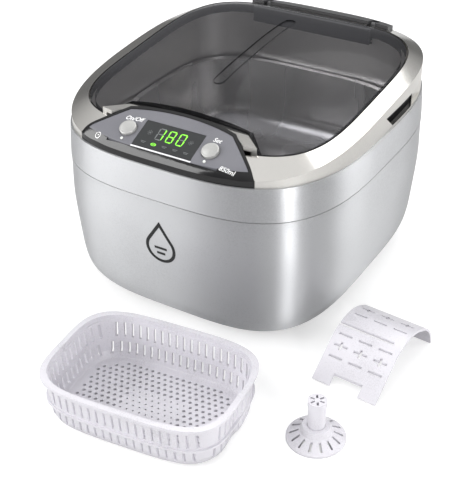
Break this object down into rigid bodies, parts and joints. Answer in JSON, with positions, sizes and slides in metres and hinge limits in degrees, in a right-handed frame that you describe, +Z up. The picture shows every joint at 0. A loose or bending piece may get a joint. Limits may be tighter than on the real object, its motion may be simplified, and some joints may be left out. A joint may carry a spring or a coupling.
{
  "type": "ultrasonic cleaner",
  "caption": "Bench-top ultrasonic cleaner: rounded silver housing, steel tank, smoked hinged lid, sloping control panel, with loose basket, watch stand and disc holder.",
  "frame": {"origin": "centre of the machine's base, on the surface its feet stand on", "axes": "+Z up, front with the control panel towards -Y, +X to the right seen from the front"},
  "size_m": [0.2351, 0.3103, 0.1419],
  "materials": {
    "silver_shell": "metallic silver lacquer",
    "satin_silver": "satin metallic silver lacquer",
    "black_plastic": "fine grained black",
    "black_gloss": "gloss black",
    "panel_grey": "matt printed film",
    "button_grey": "matt light grey",
    "display_tint": "dark tinted window",
    "smoked_clear": "smoked transparent",
    "hinge_grey": "matt dark grey",
    "stainless": "drawn stainless steel",
    "soft_rubber": "matt",
    "pcb_green": "solder mask",
    "copper_coil": "enamelled wire",
    "aluminium_grey": "machined",
    "piezo_ceramic": "fired, silvered faces",
    "steel_screw": "zinc plated",
    "brass_pin": "nickelled",
    "capacitor_sleeve": "shrink sleeve",
    "lead_insulation": "wire insulation",
    "light_pipe": "clear",
    "white_plastic": "semi-gloss white"
  },
  "bodies": {
    "machine": {"lower_housing": "silver_shell", "upper_housing": "silver_shell", "top_frame": "satin_silver", "base_cover": "black_plastic", "rubber_feet": "soft_rubber", "base_screws": "steel_screw", "tank": "stainless", "tank_gasket": "soft_rubber", "left_grip_liner": "black_plastic", "right_grip_liner": "black_plastic", "control_panel": "panel_grey", "panel_surround": "black_gloss", "display_window": "display_tint", "display_module": "black_plastic", "control_board": "pcb_green", "tact_switches": "black_plastic", "indicator_lights": "light_pipe", "lid_rests": "soft_rubber", "hinge_cover": "hinge_grey", "hinge_pins": "steel_screw", "main_board": "pcb_green", "transformer": "copper_coil", "heat_sink": "aluminium_grey", "power_transistor": "black_plastic", "capacitors": "capacitor_sleeve", "fuse": "light_pipe", "transducer_front_mass": "aluminium_grey", "piezo_rings": "piezo_ceramic", "transducer_back_mass": "steel_screw", "transducer_bolt": "steel_screw", "power_inlet": "black_plastic", "inlet_pins": "brass_pin", "transducer_leads": "lead_insulation", "mains_leads": "lead_insulation"},
    "lid": {"lid_window": "smoked_clear", "lid_hinge": "hinge_grey"},
    "on_off_key": {"on_off_button": "button_grey"},
    "set_key": {"set_button": "button_grey"},
    "loose_basket": {"basket": "white_plastic"},
    "loose_stand": {"watch_stand": "white_plastic"},
    "loose_holder": {"disc_holder_foot": "white_plastic", "disc_holder_post": "white_plastic"}
  },
  "joints": [
    {"name": "lid_swing", "type": "hinge", "parent": "machine", "child": "lid", "pos_m": [0, 0.093, 0.1295], "axis": [-1, 0, 0], "range_deg": [0, 95]},
    {"name": "on_off_press", "type": "slide", "parent": "machine", "child": "on_off_key", "axis": [0, 0.4003, -0.9164], "range_m": [0, 0.0008], "stiffness_N_per_m": 400},
    {"name": "set_press", "type": "slide", "parent": "machine", "child": "set_key", "axis": [0, 0.4003, -0.9164], "range_m": [0, 0.0008], "stiffness_N_per_m": 400},
    {"name": "basket_lift", "type": "slide", "parent": "machine", "child": "loose_basket", "axis": [0, 0, 1], "range_m": [0, 0.15]},
    {"name": "stand_lift", "type": "slide", "parent": "machine", "child": "loose_stand", "axis": [0, 0, 1], "range_m": [0, 0.15]},
    {"name": "holder_lift", "type": "slide", "parent": "machine", "child": "loose_holder", "axis": [0, 0, 1], "range_m": [0, 0.15]}
  ]
}
